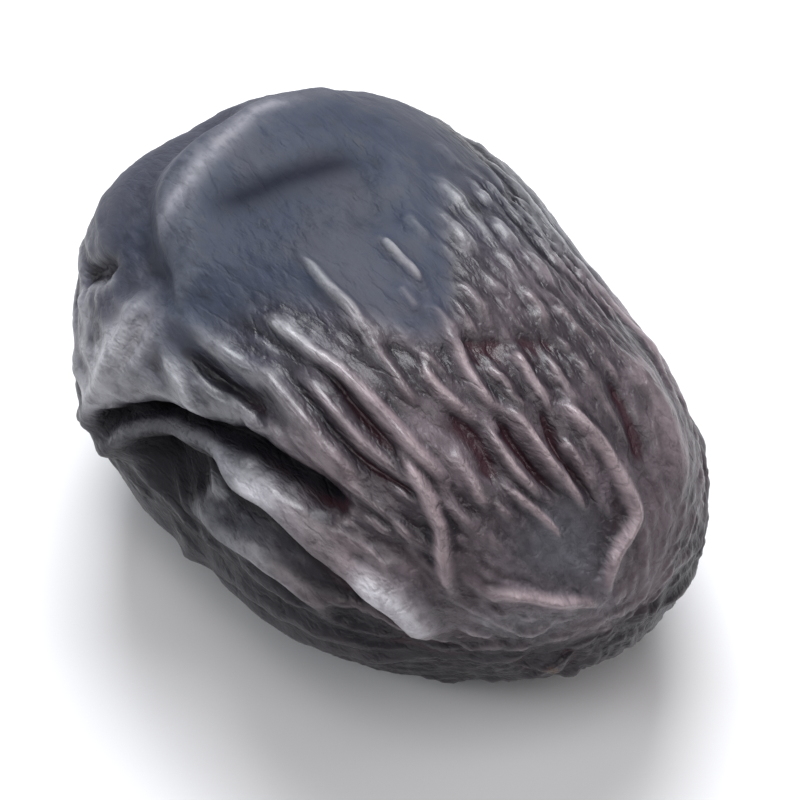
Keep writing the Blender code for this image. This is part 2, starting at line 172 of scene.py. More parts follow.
# Folds
# The skin is larger than the dried flesh under it, so it buckles into creases, lips and sharp ridges. Each
# fold is a path of (mm along, degrees round) with a height and a half width on each side of it.
FOLDS = {
    "main crease": ([(-6.4, 92), (-5.6, 83), (-4, 73), (-2.2, 65), (0, 59.5), (2, 54.5), (4, 52), (6, 50.5),
                     (7.2, 50)], -1.6, 0.36, 0.50),
    "crease floor": ([(-4.6, 78), (-3, 68.5), (-1.2, 62.5), (0.6, 58), (2.6, 54)], -0.8, 0.45, 0.55),
    "lip step": ([(-4.2, 52), (-3, 54), (-2, 55.5), (-1, 58.5), (0, 61)], 0.42, 0.40, 0.42),
    "lip valley": ([(-3.6, 50.5), (-2.2, 49.5), (-0.4, 47.8), (1, 46), (2.4, 45)], -0.5, 0.34, 0.38),
    "upper lip": ([(-5, 46.5), (-3.6, 44.6), (-2, 43.2), (-0.5, 41.5), (1, 39.4), (2.4, 39.2), (3.8, 40),
                   (5.4, 41.5), (7, 42.5)], 0.62, 0.40, 0.46),
    "lower lip": ([(-6.4, 101), (-5.2, 88), (-4.1, 80), (-3, 73), (-1.8, 67.5), (-0.6, 64.5), (1, 62.4),
                   (2.6, 62.3), (4.2, 60.5), (5.6, 61), (6.8, 63), (8.2, 64), (9.4, 66), (10.4, 71),
                   (11.3, 78), (12.1, 84)], 0.95, 0.75, 0.36),
    "under lip": ([(-4.4, 93), (-3.2, 83), (-1.8, 75.5), (0, 70.5), (2, 68.8), (4, 67.5), (6, 68.5),
                   (8, 70.5), (9.4, 74), (10.4, 81)], -1.2, 0.40, 0.95),
    "hollow under the lip": ([(-4.6, 91), (-3, 86), (-1.4, 82), (0.4, 79)], -0.7, 0.8, 0.9),
    "lip end": ([(8.2, 62.5), (9.4, 63.5), (10.6, 67), (11.6, 74)], 0.45, 0.8, 0.4),
    "first crinkle": ([(-1.6, 91), (0.8, 85.5), (2.4, 83.5), (4, 81.5), (5.6, 82), (7, 86), (8, 93)],
                      0.55, 0.34, 0.40),
    "second crinkle": ([(-2, 112), (0.6, 105), (3.2, 100), (6, 98), (9.5, 97)], 0.55, 0.4, 0.5),
    "ear": ([(-7, 44), (-6.1, 52), (-5.8, 60), (-5.8, 69), (-6.2, 81), (-7.2, 92), (-8.8, 103), (-10.6, 113)],
            0.75, 0.5, 0.6),
    "ear root": ([(-4.9, 44), (-4.8, 52), (-4.7, 61), (-4.9, 70)], 0.38, 0.42, 0.5),
    "ear hollow": ([(-5.4, 49), (-5.2, 57), (-5.2, 66)], -0.3, 0.3, 0.3),
    "ear notch": ([(-11, 66), (-10.2, 58), (-9, 51)], -0.8, 0.35, 0.4),
    "long ridge": ([(-1.4, 31.4), (0.4, 30), (2, 28.8), (3.4, 27.3), (5, 27.4), (6.8, 27.6), (8.4, 28.2),
                    (9.4, 30)], 0.62, 0.20, 0.22),
    "front fold": ([(6.6, 30), (7.6, 31.8), (8.8, 34), (9.8, 38), (10.5, 43.5), (11.2, 50), (11.9, 56.5)],
                   0.60, 0.22, 0.26),
    "valley under long ridge": ([(1.6, 30.8), (3, 30.2), (4.4, 30.8), (5.8, 31.3), (7.2, 31.8)],
                                -0.40, 0.19, 0.19),
    "ridge in the valley": ([(1.4, 34.2), (3, 34.2), (4.6, 34.8), (6, 35.2), (7.4, 35)], 0.34, 0.16, 0.18),
    "valley over the lip": ([(1, 35.9), (2.4, 37), (4, 38.2), (5.6, 38.6), (7.2, 38), (8.6, 36.6)],
                            -0.42, 0.21, 0.22),
    "upper ridge": ([(-2.5, 17), (-1, 17.3), (0.4, 17.6), (1.6, 17.6), (2.8, 18.4)], 0.55, 0.19, 0.21),
    "ridge on the step": ([(2.4, 18.6), (3.6, 19.6), (5, 20.6), (6.2, 21.4)], 0.30, 0.19, 0.21),
    "short ridge": ([(-0.8, 0.8), (0.5, 1.8), (2.2, 2)], 0.5, 0.19, 0.21),
    "first step ridge": ([(4.6, 5), (6, 6.6), (7.3, 7.4), (8.2, 7.2)], 0.45, 0.19, 0.21),
    "second step ridge": ([(6.3, -6.6), (7.3, -6), (8.6, -5.4)], 0.42, 0.19, 0.22),
    "third step ridge": ([(4.6, 14), (5.8, 15), (7, 14.2), (8.2, 12.8)], 0.42, 0.21, 0.22),
    "tip ridge": ([(7.8, 5), (8.8, 3.9), (9.8, 3.2), (10.9, 2), (12, 0.2), (13, -1.8)], 0.50, 0.18, 0.20),
    "upper tip ridge": ([(8.2, 11.8), (9.4, 12.8), (10.6, 12.6), (11.4, 12)], 0.42, 0.18, 0.19),
    "lower tip ridge": ([(10.2, 19), (11.2, 16.8), (12.2, 14.8), (13.2, 13.4)], 0.42, 0.18, 0.20),
    "short tip ridge": ([(10.2, -4.8), (11.2, -5.6), (12.2, -6.6)], 0.34, 0.18, 0.19),
    "grey streak": ([(8.2, 22), (9.4, 23.8), (10.8, 26.6)], 0.34, 0.21, 0.22),
    "broad tip valley": ([(6.6, 17), (7.8, 16), (9.2, 17), (10.2, 20.6)], -0.42, 0.36, 0.40),
    "tip valley": ([(8, 8.6), (9.4, 8), (10.8, 7.3), (12, 6)], -0.40, 0.21, 0.22),
    "right valley": ([(8.8, -3), (10, -2), (11.2, -2.6), (12.6, -6)], -0.40, 0.19, 0.21),
    "facet rim, right": ([(8.6, -8.4), (9.6, -10.6), (10.6, -13.4), (11.6, -16), (12.6, -18.6), (13.4, -20),
                          (13.9, -15.5), (14.3, -8), (14.7, 2), (14.9, 12)], 0.60, 0.22, 0.27),
    "facet rim, front": ([(14.9, 9), (14.9, 20), (14.7, 31), (14.2, 39.5), (13.5, 43), (12.8, 47),
                          (12.5, 54)], 0.55, 0.24, 0.29),
    "step, near": ([(3.4, 18.6), (3.9, 15), (4.4, 11.4)], -0.20, 0.30, 0.7),
    "step, middle": ([(4.9, 4.4), (5.2, 1), (5.6, -2.6), (5.9, -5)], -0.22, 0.30, 0.7),
    "step, far": ([(6, -8.6), (6.3, -12), (6.9, -17)], -0.18, 0.30, 0.7),
    "right fold": ([(7.5, -36), (9.6, -39.5), (11.1, -42.5), (12.4, -45), (13.5, -47)], 0.40, 0.7, 0.6),
    "right hollow": ([(8.4, -26), (9.8, -28), (11.2, -28), (12.6, -28)], -0.35, 0.5, 0.5),
    "crown rim": ([(-3.4, 42), (-5.4, 39.5), (-7.4, 35), (-8.7, 30.5), (-9.5, 24), (-10, 15), (-10.2, 5),
                   (-10.5, -5), (-10.3, -17), (-9.4, -30)], 0.5, 0.5, 1.3),
    "crown valley": ([(-7.8, 26), (-6.9, 19), (-6.2, 12), (-5.8, 4), (-5.6, -4), (-5.2, -10), (-4.4, -17)],
                     -0.55, 0.85, 1.9),
    "crown gutter": ([(-4.6, 40.5), (-6.2, 42.5), (-8, 42), (-9.6, 38.5), (-11, 31), (-11.8, 20), (-12.3, 6),
                      (-12.6, -8)], -0.7, 0.9, 0.7),
    "crown dimple": ([(-9.2, 20), (-8.6, 13), (-8.4, 6), (-8.4, 0)], -0.22, 0.8, 0.8),
    "shoulder hollow": ([(-3, 3), (-2.2, -3), (-1.4, -9)], -0.28, 0.7, 0.8),
    "far crease": ([(-7.5, -74), (-4.5, -80), (-1, -84), (4, -86), (8.5, -82)], -1.1, 0.45, 0.6),
    "far lip": ([(-7, -67), (-4.5, -70), (-1, -74), (4, -76.5), (9.5, -73)], 0.55, 0.6, 0.55),
    "far low lip": ([(-7.5, -84), (-3, -91), (2.5, -96), (7.5, -95), (11, -88)], 0.7, 0.55, 0.7),
    "far ridge": ([(-4, -54), (0, -58), (5, -59), (9, -57)], 0.40, 0.32, 0.38),
    "heel crease": ([(-11.8, -128), (-7, -124), (-2, -128), (2.5, -136)], -0.8, 0.45, 0.6),
    "heel lip": ([(-11, -116), (-6.5, -113), (-1, -117), (4, -124), (9, -122)], 0.6, 0.5, 0.6),
    "under crease": ([(-10.5, 132), (-6, 126), (-1, 122), (4, 118), (9.5, 112)], -0.85, 0.45, 0.6),
    "under ridge": ([(-11.2, 118), (-6.8, 115), (-2, 113), (3, 110), (8, 107), (11.5, 103)], 0.6, 0.5, 0.55),
}


# Short bumps scattered on the right shoulder, as (mm along, degrees round, length)
BUMPS = [(-3.8, -31, 1.0), (-1.6, -21.5, 1.5), (-0.5, -7, 0.8), (0.9, -13.5, 1.0), (1.0, -26, 1.1),
         (1.1, -40, 1.2), (2.3, 6.8, 0.9), (3.9, 3.4, 1.5), (3.6, -5.8, 1.8), (5.0, -19, 1.6),
         (3.2, -29, 1.2), (-2.8, -42, 1.4)]
BUMP_HEIGHT = 0.26
BUMP_WIDTH = 0.24

# How folds run: how far they stray in mm, how much their height varies, and the widest half width that varies
FOLD_WANDER = 0.11
FOLD_UNEVEN = 0.35
UNEVEN_LIMITS = (0.5, 1.4)
WIDEST_UNEVEN = 0.7

# A fold's profile: its reach in half widths, the power of its fall and how round narrow folds are at the top.
# Wider folds are rounder, from the first half width on, over the second
FOLD_REACH = 4.5
FOLD_POWER = 1.25
SHARP_TOP = 0.10
ROUNDER_FROM, ROUNDER_OVER = 0.6, 0.5

# Outward from a path is the way from the barrel's middle, with this share of its length along the axis
OUTWARD_LEAN = 0.15

# A fold's ends: the longest run-out in mm, its largest share of the fold, and how far past the path it begins
RUN_OUT = 2.2
RUN_OUT_SHARE = 0.35
PAST_THE_END = 0.3

# Folds this high keep the wrinkles off altogether, as far as this past their half width
STRONG_FOLD = 0.5
CALM_MARGIN = 0.45

# Folds narrower than this are sharp ridges, which are rubbed pale and carry a painted highlight
NARROW = 0.45


def smooth_path(points, steps=10):
    """A curve through the points: each run is a cubic whose slope at a point follows its two neighbours."""
    points = np.asarray(points, float)
    padded = np.concatenate([2 * points[:1] - points[1:2], points, 2 * points[-1:] - points[-2:-1]])
    t = np.linspace(0, 1, steps, endpoint=False)[:, None]
    runs = []
    for a, b, c, d in zip(padded, padded[1:], padded[2:], padded[3:]):
        bend = 2 * a - 5 * b + 4 * c - d
        twist = 3 * b - a - 3 * c + d
        runs.append(0.5 * (2 * b + (c - a) * t + bend * t ** 2 + twist * t ** 3))
    return np.concatenate(runs + [points[-1:]])


def fold(path, height, low_width, high_width):
    """Relief of one fold, and how far it keeps the wrinkles off.

    The relief falls away exponentially with distance from the path, with its own width on each side, and
    eases out at both ends. Wide folds are round at the top and narrow ones are sharp. Points are first moved
    by wander, so that the fold runs unevenly. The direction across is square to the path and to outward.
    """
    route = smooth_path(path)
    line = on_barrel(route[:, 0], route[:, 1])
    step = np.diff(line, axis=0)
    length = np.linalg.norm(step, axis=1)
    start = np.concatenate([[0], np.cumsum(length)])
    across = np.cross(step, line[:-1] * (OUTWARD_LEAN, 1, 1))
    across /= np.linalg.norm(across, axis=1, keepdims=True)
    reach = FOLD_REACH * max(low_width, high_width)
    near = ((skin > line.min(0) - reach) & (skin < line.max(0) + reach)).all(-1)
    points = skin[near] + wander[near]
    nearest = np.full(len(points), np.inf)
    side = np.zeros(len(points))
    place = np.zeros(len(points))
    for i in range(len(step)):
        t = np.clip((points - line[i]) @ step[i] / length[i] ** 2, 0, 1)
        off = points - line[i] - t[:, None] * step[i]
        gap = (off ** 2).sum(1)
        closer = gap < nearest
        nearest[closer] = gap[closer]
        side[closer] = off[closer] @ across[i]
        place[closer] = start[i] + t[closer] * length[i]
    width = np.where(side > 0, high_width, low_width)
    round_top = SHARP_TOP + (1 - SHARP_TOP) * ease((width - ROUNDER_FROM) / ROUNDER_OVER)
    fall = np.sqrt(nearest / width ** 2 + round_top) - np.sqrt(round_top)
    run_out = min(RUN_OUT, RUN_OUT_SHARE * start[-1])
    left = start[-1] - place
    ends = ease((place + PAST_THE_END) / run_out) * ease((left + PAST_THE_END) / run_out)
    relief = np.zeros(skin.shape[:2])
    relief[near] = height * ends * hump(fall, 1, FOLD_POWER)
    calm = np.zeros(skin.shape[:2])
    calm[near] = ends * hump(np.sqrt(nearest), CALM_MARGIN + width) * ease(abs(height) / STRONG_FOLD)
    return relief, calm


wander = FOLD_WANDER * np.stack([lumps(skin, size=1.9, seed=seed) for seed in (51, 52, 53)], -1)
uneven = np.clip(1 + FOLD_UNEVEN * lumps(skin, size=1.6, seed=54), *UNEVEN_LIMITS)
bumps = [([(along - 0.5 * size, turn), (along, turn), (along + 0.5 * size, turn)],
          BUMP_HEIGHT, BUMP_WIDTH, BUMP_WIDTH)
         for along, turn, size in BUMPS]


# The ends
# The fruit broke from its cap at the stem end and left a sunk brown scar with puckers round it. The tip keeps
# the dry nub of the flower. With the folds, both ends are raised from the surface in one step. All are in mm,
# but for the number of puckers and the angles by which they sway and stray.
STEM_SCAR = 1.9
SCAR_RIM_HEIGHT, SCAR_RIM_WIDTH = 0.30, 0.45
SCAR_DEPTH = 0.55
SCAR_FLOOR = 0.75 * STEM_SCAR
PUCKERS = 13
PUCKER_SWAY, PUCKER_STRAY = 1.5, 2.5
PUCKER_HEIGHT = 0.12
PUCKER_RING, PUCKER_WIDTH = 1.8 * STEM_SCAR, 1.3
CALM_STEM = 1.3 * STEM_SCAR
TIP_NUB = 0.55
TIP_NUB_PLACE = (14.6, 125)
NUB_HEIGHT = 0.32
NUB_HOLLOW, NUB_HOLLOW_WIDTH = 0.20, 0.5
NUB_HOLLOW_RING = 2.2 * TIP_NUB

from_axis = np.hypot(y, z)
scar_ring = SCAR_RIM_HEIGHT * hump(from_axis - STEM_SCAR, SCAR_RIM_WIDTH)
scar_floor = -SCAR_DEPTH * hump(from_axis, SCAR_FLOOR, 4)
turn = PUCKERS * angle + PUCKER_SWAY * np.sin(2 * angle) + PUCKER_STRAY * lumps(skin, size=3.0, seed=41)
puckers = PUCKER_HEIGHT * np.cos(turn) * hump(from_axis - PUCKER_RING, PUCKER_WIDTH)
from_nub = np.linalg.norm(skin - on_barrel(*TIP_NUB_PLACE), axis=-1)
nub = NUB_HEIGHT * hump(from_nub, TIP_NUB)
nub = nub - NUB_HOLLOW * hump(from_nub - NUB_HOLLOW_RING, NUB_HOLLOW_WIDTH)

relief = np.where(x < 0, scar_ring + scar_floor + puckers, nub)
ridge = np.zeros_like(x)
calm = hump(from_axis, CALM_STEM, 4) * (x < 0)
for path, height, low_width, high_width in [*FOLDS.values(), *bumps]:
    one_relief, one_calm = fold(path, height, low_width, high_width)
    relief = relief + one_relief * (uneven if max(low_width, high_width) < WIDEST_UNEVEN else 1)
    calm = np.maximum(calm, one_calm)
    if max(low_width, high_width) < NARROW:
        ridge = np.maximum(ridge, one_relief)
surface = raised(surface, relief)


# Smooth places
# The crown and the facet on the tip stay almost smooth, and so does the skin close to a strong fold. The
# right shoulder is calmer than the rest, and the foot is flat. Lengths are in mm and turns in degrees round,
# and an edge is how far a place fades over.
CROWN_END = -2.5
CROWN_TONGUE = 7
TONGUE_TURN, TONGUE_WIDTH = 5, 17
CROWN_UNEVEN = 0.8
CROWN_EDGE = 2.4
CROWN_MIDDLE, CROWN_SIDE, CROWN_SIDE_EDGE = 2, 62, 22
FACET_MIDDLE, FACET_LONG = 13.2, 1.7
FACET_TURN, FACET_WIDE = 14, 22
SHOULDER_FROM, SHOULDER_EDGE = 3, 3
SHOULDER_TURN, SHOULDER_SIDE, SHOULDER_SIDE_EDGE = -36, 8, 14
FOOT_LONG, FOOT_WIDE = 5.5, 4.2

# How much of the wrinkles' height each kind of smooth place takes away
CROWN_CALM = 0.93
FACET_CALM = 0.85
FOLD_CALM = 0.9
SHOULDER_CALM = 0.45

tongue = CROWN_TONGUE * hump(degrees - TONGUE_TURN, TONGUE_WIDTH)
border = CROWN_END + tongue + CROWN_UNEVEN * lumps(skin, size=3.0, seed=31)
crown_side = ease((CROWN_SIDE - np.abs(degrees - CROWN_MIDDLE)) / CROWN_SIDE_EDGE)
crown = ease((border - x) / CROWN_EDGE + 0.5) * crown_side
facet = hump(np.hypot((x - FACET_MIDDLE) / FACET_LONG, (degrees - FACET_TURN) / FACET_WIDE), 1, 3)
shoulder_side = ease(1 - (np.abs(degrees - SHOULDER_TURN) - SHOULDER_SIDE) / SHOULDER_SIDE_EDGE)
shoulder = ease((x - SHOULDER_FROM) / SHOULDER_EDGE) * shoulder_side
foot = hump(np.hypot(x / FOOT_LONG, y / FOOT_WIDE), 1, 4) * (z < 0)
free = (1 - CROWN_CALM * crown) * (1 - FACET_CALM * facet) * (1 - FOLD_CALM * calm)
free = free * (1 - SHOULDER_CALM * shoulder) * (1 - foot)


# Wrinkles
# Fine wrinkles run lengthwise between the folds, fork and merge, and fade on the smooth places. They come in
# three sizes, and the two smaller ones cover the larger.
WRINKLE_WAVE = 1.25
WRINKLE_HEIGHT = 0.42
FINE_WAVE = 0.75
FINE_HEIGHT = 0.10
CREPE_WAVE = 0.48
CREPE_HEIGHT = 0.04

# The share of the height that the two smaller sizes keep on the smoothest skin
FINE_EVERYWHERE = 0.2
CREPE_EVERYWHERE = 0.35

# The largest size varies in height by noise, within limits, and loses a share towards the ends
USUAL_GAIN, GAIN_SWING, GAIN_LIMITS = 0.75, 0.5, (0.2, 1.2)
END_LOSS = 0.5

# Wave packets: the places along and round that they are drawn from, how far they reach, and the sum from
# which crests have their full height
PLACES_ALONG, PLACES_ROUND = 80, 120
PACKET_REACH = 2.6
FULL_STRENGTH = 1.6


def wave_packets(count, seed, wave, spread, tilt, drift):
    """Short runs of waves, scattered evenly over the barrel.

    Each has a centre, a ridge and a cross direction, a wavelength and a phase. Wavelengths spread evenly in
    their logarithm. Ridges run lengthwise, turned slowly by noise (drift) and each by a small angle of its
    own (tilt).
    """
    rng = np.random.default_rng(seed)
    s, angle = np.meshgrid((np.arange(PLACES_ALONG) + 0.5) / PLACES_ALONG,
                           np.arange(PLACES_ROUND) * 2 * np.pi / PLACES_ROUND, indexing="ij")
    nudge = 1e-3
    around = barrel(s, angle + nudge) - barrel(s, angle - nudge)
    along = barrel(s + nudge, angle) - barrel(s - nudge, angle)
    area = np.linalg.norm(np.cross(around, along), axis=-1).ravel()
    pick = rng.choice(area.size, count, p=area / area.sum())
    centre = barrel(s, angle).reshape(-1, 3)[pick]
    along = along.reshape(-1, 3)[pick]
    along /= np.linalg.norm(along, axis=1, keepdims=True)
    around = around.reshape(-1, 3)[pick]
    around -= along * (along * around).sum(1, keepdims=True)
    around /= np.linalg.norm(around, axis=1, keepdims=True)
    turn = (drift * lumps(centre, size=6.0, seed=7) + rng.normal(0, tilt, count))[:, None]
    ridge = np.cos(turn) * along + np.sin(turn) * around
    cross = np.cos(turn) * around - np.sin(turn) * along
    waves = wave * np.exp(rng.normal(0, spread, count))
    return centre, ridge, cross, waves, rng.uniform(0, 2 * np.pi, count)


def wrinkles(packets, long, wide, sharpness):
    """Crests from 0 to 1: the wave packets are added up, and their common phase gives forking crests.

    A packet fades like a bell curve, long and wide times its wavelength. A higher sharpness gives narrower
    crests with wider valleys between.
    """
    even = np.zeros(skin.shape[:2])
    odd = np.zeros(skin.shape[:2])
    rows_x = skin[:, 0, 0]
    for centre, ridge, cross, wave, phase in zip(*packets):
        reach = PACKET_REACH * long * wave
        first, last = np.searchsorted(rows_x, (centre[0] - reach, centre[0] + reach))
        off = skin[first:last] - centre
        gap = (off ** 2).sum(-1)
        row, column = np.nonzero(gap < reach ** 2)
        along, over = off[row, column] @ ridge, off[row, column] @ cross
        sides = gap[row, column] - along ** 2
        weight = np.exp(-0.5 * ((along / (long * wave)) ** 2 + sides / (wide * wave) ** 2))
        turn = 2 * np.pi * over / wave + phase
        even[row + first, column] += weight * np.cos(turn)
        odd[row + first, column] += weight * np.sin(turn)
    strength = np.hypot(even, odd)
    return ((1 + even / (strength + 1e-9)) / 2) ** sharpness * ease(strength / FULL_STRENGTH)


gain = np.clip(USUAL_GAIN + GAIN_SWING * lumps(skin, size=4.0, seed=21), *GAIN_LIMITS)
gain = gain * (1 - END_LOSS * (2 * x / LENGTH) ** 4)
packets = wave_packets(count=260, seed=11, wave=WRINKLE_WAVE, spread=0.16, tilt=0.12, drift=0.30)
crests = wrinkles(packets, long=2.6, wide=1.0, sharpness=2.6)
surface = raised(surface, WRINKLE_HEIGHT * gain * free * crests)

packets = wave_packets(count=950, seed=12, wave=FINE_WAVE, spread=0.2, tilt=0.3, drift=0.45)
crests = wrinkles(packets, long=2.2, wide=1.0, sharpness=1.8)
surface = raised(surface, FINE_HEIGHT * (FINE_EVERYWHERE + (1 - FINE_EVERYWHERE) * free) * crests)

packets = wave_packets(count=2200, seed=13, wave=CREPE_WAVE, spread=0.2, tilt=0.5, drift=0.6)
crests = wrinkles(packets, long=2.0, wide=1.0, sharpness=1.5)
surface = raised(surface, CREPE_HEIGHT * (CREPE_EVERYWHERE + (1 - CREPE_EVERYWHERE) * free) * crests)


# The skin's mesh
# The underside is pressed flat where the date lies, and the surface is centred on the CAD solid's box, foot
# to foot. Each point keeps how far it stands out from the skin round it, and where highlights and shade are
# painted.
FOOT_DEPTH = 0.55
MILLIMETRE = 0.001

# Blurs that tell how far a point stands out, as steps of the grid: close by, round it, and over a whole fold
FINE_BLUR = (1, 2, 3)
BROAD_BLUR = (1, 2, 4, 7, 10)
DEEP_BLUR = (2, 4, 8, 12, 16, 20)

# A streak of painted shade runs along the crown's valley on this path, as (mm along, degrees round), with its
# half widths
CROWN_SHADE_STREAK = [(-7.2, 26), (-6.9, 21), (-6.5, 12.3), (-6.1, 2.5), (-5.7, -6), (-5.1, -13.7)]
SHADE_STREAK_WIDTHS = (0.45, 0.6)

# Painted highlights on the crown rim, the ear, the lips and the facet rim, laid as the thickest pale bloom,
# as (path, thickness, half width on one side, half width on the other side)
THICK_BLOOM_AND_HIGHLIGHTS = [
    ([(-7.2, 37), (-8, 31), (-8.4, 25), (-9, 17), (-9.4, 10), (-9.8, 2), (-9.9, -7), (-9.4, -15)],
     0.30, 0.3, 0.35),
    ([(-5.8, 46), (-5.5, 54), (-5.9, 64), (-6.5, 74), (-6.4, 86)], 0.40, 0.8, 0.8),
    ([(-8.8, 62), (-8.9, 71), (-8.4, 80)], 0.28, 0.8, 0.8),
    ([(8, 61.4), (9.2, 62), (10.3, 65), (11.1, 71), (11.6, 78)], 1.0, 0.35, 0.5),
    ([(2.8, 61.6), (3.5, 60.4), (4.2, 59.4)], 0.7, 0.3, 0.3),
    ([(11.6, 60), (12.4, 64), (13.2, 63), (13.9, 58), (14.5, 50), (14.9, 33)], 0.20, 0.5, 0.8),
]

# Painted shade: these creases are coloured near-black, each to this half width
SHADED_CREASES = [("main crease", 0.38), ("crease floor", 0.28), ("under lip", 0.75),
                ("hollow under the lip", 1.0)]


def blurred(grid, steps):
    """The grid averaged with its neighbours a step away each way, for each of the steps in turn."""
    for step in steps:
        grid = (np.roll(grid, step, 1) + 2 * grid + np.roll(grid, -step, 1)) / 4
        padded = np.concatenate([grid[:1].repeat(step, 0), grid, grid[-1:].repeat(step, 0)])
        grid = (padded[:-2 * step] + 2 * grid + padded[2 * step:]) / 4
    return grid


def standing_out(grid, steps):
    """How far the grid stands above its own blur, measured along the surface's normals."""
    return ((grid - blurred(grid, steps)) * outward(surface)).sum(-1)


fine_height = standing_out(surface, FINE_BLUR)
broad_height = standing_out(surface, BROAD_BLUR)
deep_height = standing_out(surface - skin, DEEP_BLUR)
surface[..., 2] = np.maximum(surface[..., 2], surface[..., 2].min() + FOOT_DEPTH)

low, high = surface.min((0, 1)), surface.max((0, 1))
cad_low, cad_high = (np.array(corner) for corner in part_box("date"))
shift = np.array([*(cad_low + cad_high)[:2] / 2, cad_low[2]])
surface = (surface - (*(low + high)[:2] / 2, low[2])) * MILLIMETRE + shift

points = np.concatenate([surface[0, :1], surface[1:-1].reshape(-1, 3), surface[-1, :1]])
index = 1 + np.arange((ROWS - 2) * COLUMNS).reshape(ROWS - 2, COLUMNS)
beside = np.roll(index, -1, 1)
quads = np.stack([index[:-1], beside[:-1], beside[1:], index[1:]], -1).reshape(-1, 4)
stem_fan = np.stack([np.zeros(COLUMNS, int), beside[0], index[0]], -1)
tip_fan = np.stack([np.full(COLUMNS, len(points) - 1), index[-1], beside[-1]], -1)
mesh = bpy.data.meshes.new("date_skin")
mesh.from_pydata(points, [], quads.tolist() + stem_fan.tolist() + tip_fan.tolist())
mesh.shade_smooth()


def keep_on_points(name, values):
    """Store a value for each point of the grid, for the material to read."""
    one_each = np.concatenate([values[0, :1], values[1:-1].ravel(), values[-1, :1]])
    mesh.attributes.new(name, "FLOAT", "POINT").data.foreach_set("value", one_each.astype(np.float32))


keep_on_points("fine_height", fine_height)
keep_on_points("broad_height", broad_height)
keep_on_points("deep_height", deep_height)
keep_on_points("ridge", ridge)
keep_on_points("crown", crown)
keep_on_points("facet", facet)

# Slate blue bloom fades from the crown's top to the stem end, in mm, and to the far side, in degrees round
STEM_FADE, STEM_FADE_FROM, STEM_FADE_OVER = 0.8, -8.5, 3.5
FAR_FADE, FAR_FADE_FROM, FAR_FADE_OVER = 0.5, -18, 25
stem_fade = 1 - STEM_FADE * ease((STEM_FADE_FROM - x) / STEM_FADE_OVER)
far_fade = 1 - FAR_FADE * ease((FAR_FADE_FROM - degrees) / FAR_FADE_OVER)
keep_on_points("crown_top", crown * stem_fade * far_fade)

# The underside, where bloom and pale crests are cut back as painted shade, starts this many degrees round,
# and counts for less at the tip
UNDER_FROM, UNDER_OVER = 70, 24
UNDER_TIP_LOSS, UNDER_TIP_FROM, UNDER_TIP_OVER = 0.25, 9, 4
tip_loss = UNDER_TIP_LOSS * ease((x - UNDER_TIP_FROM) / UNDER_TIP_OVER)
keep_on_points("under", ease((np.abs(degrees) - UNDER_FROM) / UNDER_OVER) * (1 - tip_loss))

# The pinker part starts just before the middle, and some mm later on the flank
TIPWARD_FROM, TIPWARD_OVER = -1, 7
FLANK_LATER, FLANK_FROM, FLANK_OVER = 3, 48, 14
later = FLANK_LATER * ease((degrees - FLANK_FROM) / FLANK_OVER)
keep_on_points("tipward", ease((x - TIPWARD_FROM - later) / TIPWARD_OVER))

keep_on_points("streak", fold(CROWN_SHADE_STREAK, 1, *SHADE_STREAK_WIDTHS)[0])
# Masks for the painted shade in the listed creases
crease_shades = [fold(FOLDS[name][0], 1, width, width)[0] for name, width in SHADED_CREASES]
keep_on_points("crease_shade", np.max(crease_shades, axis=0))
keep_on_points("bloom_and_highlight", np.max([fold(*one)[0] for one in THICK_BLOOM_AND_HIGHLIGHTS], axis=0))
stem_scar = hump(from_axis, STEM_SCAR, 6)
keep_on_points("scar", np.where(x < 0, stem_scar, 0.5 * hump(from_nub, 0.9 * TIP_NUB, 4)))

date = bpy.data.objects.new("date_skin", mesh)
bpy.context.scene.collection.objects.link(date)
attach(date, "root")
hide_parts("date")


# The skin's material
# Its nodes read the values kept on the points, ease them from one range to another and combine them into
# masks. The masks lay one colour over another, and set how rough and glossy the skin is.
material = bpy.data.materials.new("date skin")
material.use_nodes = True
nodes = material.node_tree.nodes
wires = material.node_tree.links
shader = nodes["Principled BSDF"]
coordinates = nodes.new("ShaderNodeTexCoord").outputs["Object"]


def attribute(name):
    """The value kept on the mesh's points under that name."""
    node = nodes.new("ShaderNodeAttribute")
    node.attribute_name = name
    return node.outputs["Fac"]


def ranged(value, low, high, to_low=0.0, to_high=1.0):
    """The value eased from one range to another, and held at the ends."""
    node = nodes.new("ShaderNodeMapRange")
    node.interpolation_type = "SMOOTHSTEP"
    wires.new(value, node.inputs["Value"])
    for name, number in (("From Min", low), ("From Max", high), ("To Min", to_low), ("To Max", to_high)):
        node.inputs[name].default_value = number
    return node.outputs["Result"]


def combined(kind, result, *others):
    """The first value combined with each other one in turn, as the kind says. Any may be a plain number."""
    for other in others:
        node = nodes.new("ShaderNodeMath")
        node.operation = kind
        for socket, value in zip(node.inputs, (result, other)):
            if isinstance(value, (int, float)):
                socket.default_value = value
            else:
                wires.new(value, socket)
        result = node.outputs[0]
    return result


def noise(grain, stretch=(1, 1, 1), detail=3.0, rough=0.55):
    """Noise with grains of that size in metres, drawn out by a stretch along each axis."""
    mapping = nodes.new("ShaderNodeMapping")
    mapping.inputs["Scale"].default_value = [1 / (grain * one) for one in stretch]
    wires.new(coordinates, mapping.inputs["Vector"])
    node = nodes.new("ShaderNodeTexNoise")
    node.inputs["Scale"].default_value = 1.0
    node.inputs["Detail"].default_value = detail
    node.inputs["Roughness"].default_value = rough
    wires.new(mapping.outputs["Vector"], node.inputs["Vector"])
    return node.outputs["Fac"]


def mixed(share, first, second):
    """One colour over another by a share. Either may be a plain colour."""
    node = nodes.new("ShaderNodeMix")
    node.data_type = "RGBA"
    wires.new(share, node.inputs["Factor"])
    for socket, colour in zip((node.inputs[6], node.inputs[7]), (first, second)):
        if isinstance(colour, tuple):
            socket.default_value = (*colour, 1)
        else:
            wires.new(colour, socket)
    return node.outputs[2]


